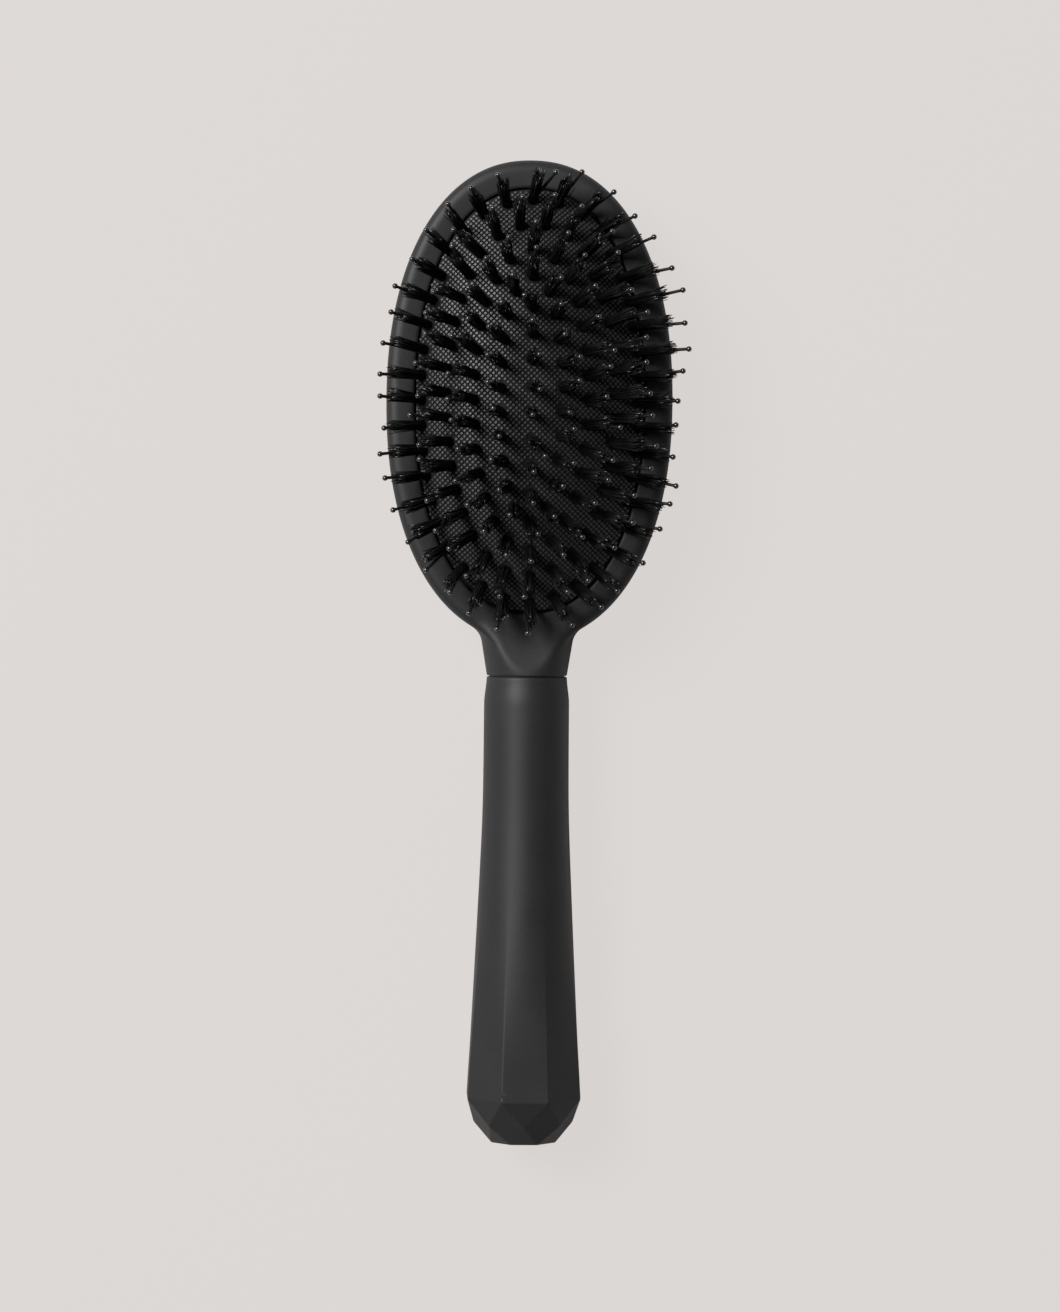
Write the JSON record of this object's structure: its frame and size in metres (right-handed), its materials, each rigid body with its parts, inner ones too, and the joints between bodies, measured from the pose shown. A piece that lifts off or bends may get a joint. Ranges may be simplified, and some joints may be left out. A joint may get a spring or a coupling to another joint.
{
  "type": "cushion hair brush",
  "caption": "Oval cushion hair brush: hollow head with a domed rubber pad, oval rows of ball-tipped tufts and a flared handle with a facet-cut butt",
  "frame": {"origin": "under the middle of the brush's length, on the surface that it lies on", "axes": "brush lying on its back; +Y along the brush towards the head, +X to the side, +Z the way the bristles point"},
  "size_m": [0.0756, 0.2446, 0.0496],
  "materials": {
    "shell_plastic": "satin black moulded plastic",
    "handle_plastic": "satin black moulded plastic with crisp facets",
    "pad_rubber": "black rubber with a fine diamond emboss",
    "bristle_nylon": "black nylon pins with glossy ball tips among dark bristles"
  },
  "bodies": {
    "brush": {"head_shell": "shell_plastic", "handle": "handle_plastic", "cushion_pad": "pad_rubber"},
    "row_outer": {"tufts_outer_1": "bristle_nylon", "tufts_outer_2": "bristle_nylon", "tufts_outer_3": "bristle_nylon", "tufts_outer_4": "bristle_nylon", "tufts_outer_5": "bristle_nylon", "tufts_outer_6": "bristle_nylon", "tufts_outer_7": "bristle_nylon", "tufts_outer_8": "bristle_nylon"},
    "row_second": {"tufts_second_1": "bristle_nylon", "tufts_second_2": "bristle_nylon", "tufts_second_3": "bristle_nylon", "tufts_second_4": "bristle_nylon", "tufts_second_5": "bristle_nylon"},
    "row_third": {"tufts_third_1": "bristle_nylon", "tufts_third_2": "bristle_nylon", "tufts_third_3": "bristle_nylon", "tufts_third_4": "bristle_nylon"},
    "row_fourth": {"tufts_fourth_1": "bristle_nylon", "tufts_fourth_2": "bristle_nylon"},
    "row_centre": {"tufts_centre": "bristle_nylon"}
  },
  "joints": [
    {"name": "cushion_press", "type": "slide", "parent": "brush", "child": "row_centre", "axis": [0, 0, -1], "range_m": [0, 0.003], "stiffness_N_per_m": 1200, "deforming": ["cushion_pad"]},
    {"name": "fourth_row_give", "type": "slide", "parent": "brush", "child": "row_fourth", "axis": [0, 0, -1], "range_m": [0, 0.003], "stiffness_N_per_m": 200},
    {"name": "third_row_give", "type": "slide", "parent": "brush", "child": "row_third", "axis": [0, 0, -1], "range_m": [0, 0.003], "stiffness_N_per_m": 200},
    {"name": "second_row_give", "type": "slide", "parent": "brush", "child": "row_second", "axis": [0, 0, -1], "range_m": [0, 0.003], "stiffness_N_per_m": 200},
    {"name": "outer_row_give", "type": "slide", "parent": "brush", "child": "row_outer", "axis": [0, 0, -1], "range_m": [0, 0.003], "stiffness_N_per_m": 200}
  ],
  "couplings": [
    {"joint": "fourth_row_give", "follows": "cushion_press", "ratio": 0.84},
    {"joint": "third_row_give", "follows": "cushion_press", "ratio": 0.68},
    {"joint": "second_row_give", "follows": "cushion_press", "ratio": 0.45},
    {"joint": "outer_row_give", "follows": "cushion_press", "ratio": 0.14}
  ]
}
